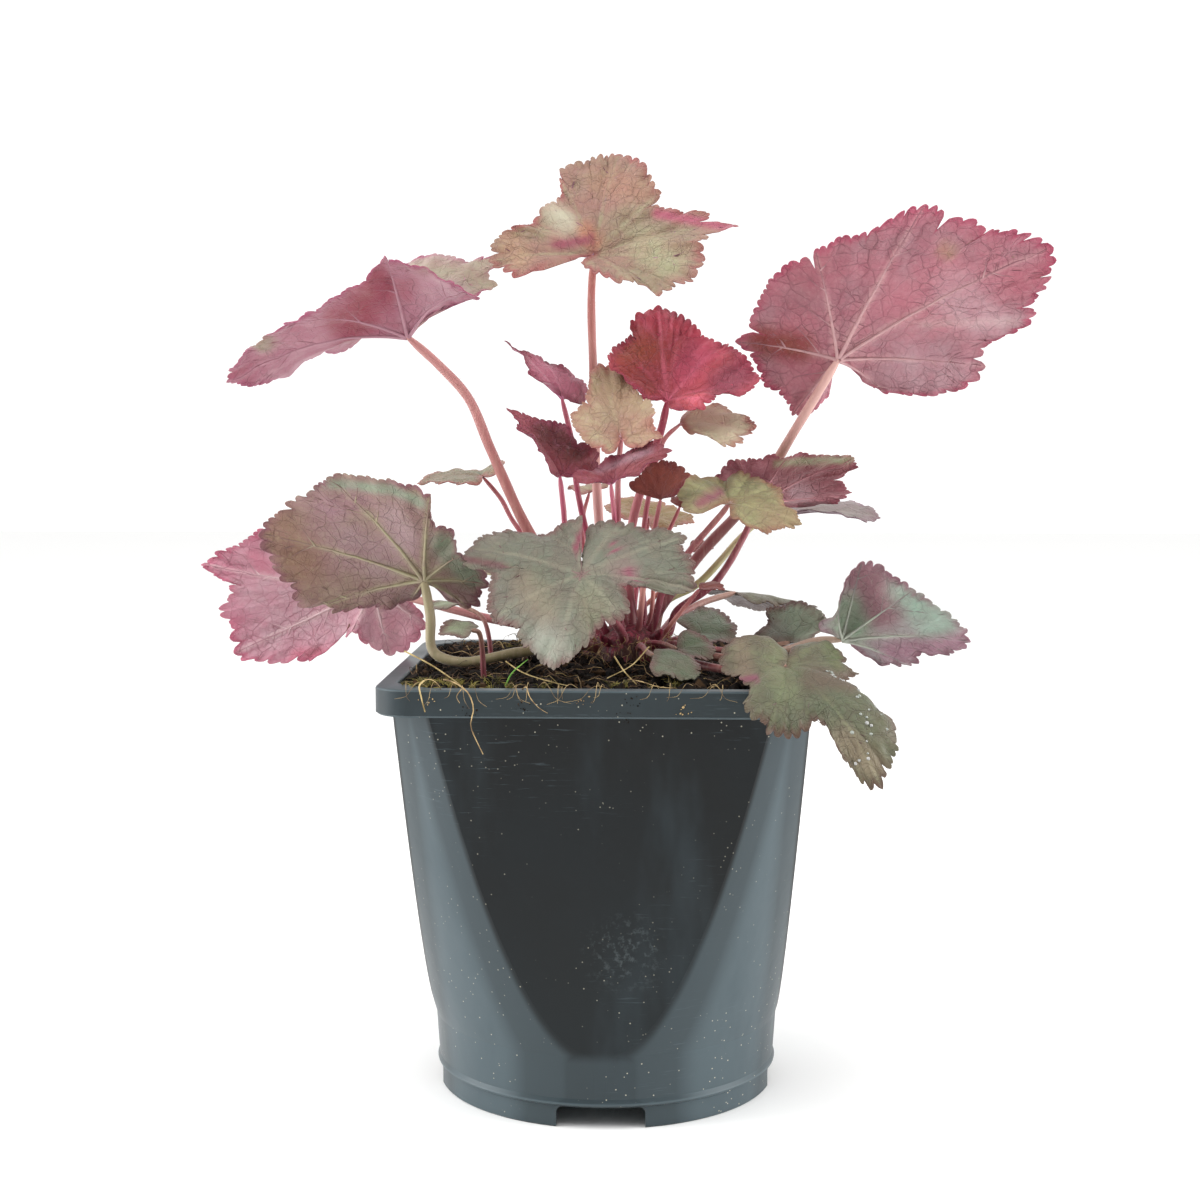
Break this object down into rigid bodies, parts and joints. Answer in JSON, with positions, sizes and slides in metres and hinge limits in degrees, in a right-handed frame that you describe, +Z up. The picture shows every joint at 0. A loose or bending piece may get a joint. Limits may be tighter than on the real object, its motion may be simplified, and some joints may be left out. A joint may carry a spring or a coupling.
{
  "type": "heuchera plant in a nursery pot",
  "caption": "Potted coral bells: lobed leaves in olive, grey-green, rose and crimson on slender stems from one crown, in a black plastic pot with a square rim and round foot.",
  "frame": {"origin": "on the surface that the pot stands on, under the middle of the whole plant's outline seen from above", "axes": "+Z up, -Y towards the front of the plant, +X to its right; the pot's sides are parallel to X and Y"},
  "size_m": [0.2662, 0.1834, 0.2932],
  "materials": {
    "pot_plastic": "blue-black injection-moulded plastic, satin, finely scratched and dusted with soil",
    "peat": "dark crumbly moist peat with fibres, straw and moss",
    "crown_flesh": "crimson fleshy stock with buds and old leaf bases",
    "leaf_olive": "olive to orange-brown upper face with pale veins, softly hairy",
    "leaf_green": "grey-green upper face with pale radiating veins and a reddish edge",
    "leaf_mauve": "rose-mauve underside with raised netted veins",
    "leaf_crimson": "crimson young blade, slightly glossy"
  },
  "bodies": {
    "root": {"pot": "pot_plastic", "soil": "peat", "crown": "crown_flesh", "leaf_right_large": "leaf_mauve", "leaf_left_large": "leaf_mauve", "leaf_top": "leaf_olive", "leaf_crimson_cup": "leaf_crimson", "leaf_small_crimson_a": "leaf_crimson", "leaf_small_crimson_b": "leaf_crimson", "leaf_olive_mid": "leaf_olive", "leaf_olive_small_right": "leaf_olive", "leaf_crimson_fold": "leaf_crimson", "leaf_brown_crimson": "leaf_crimson", "leaf_edge_on_olive": "leaf_olive", "leaf_olive_behind": "leaf_olive", "leaf_light_olive": "leaf_olive", "leaf_crimson_right": "leaf_crimson", "leaf_pale_right": "leaf_mauve", "leaf_front_big": "leaf_green", "leaf_left_mauve": "leaf_mauve", "leaf_left_pink": "leaf_mauve", "leaf_thin_left": "leaf_olive", "leaf_small_green_left": "leaf_green", "leaf_thin_green_left": "leaf_green", "leaf_folded_right": "leaf_mauve", "leaf_curled_right": "leaf_green", "leaf_over_rim": "leaf_olive", "leaf_small_green_front": "leaf_green", "leaf_small_green_right": "leaf_green", "leaf_olive_low_right": "leaf_green", "leaf_young_curled": "leaf_crimson", "leaf_young_brown": "leaf_crimson", "leaf_young_red": "leaf_crimson", "leaf_back_middle": "leaf_green", "leaf_back_left": "leaf_mauve", "leaf_back_right": "leaf_olive"}
  },
  "joints": []
}
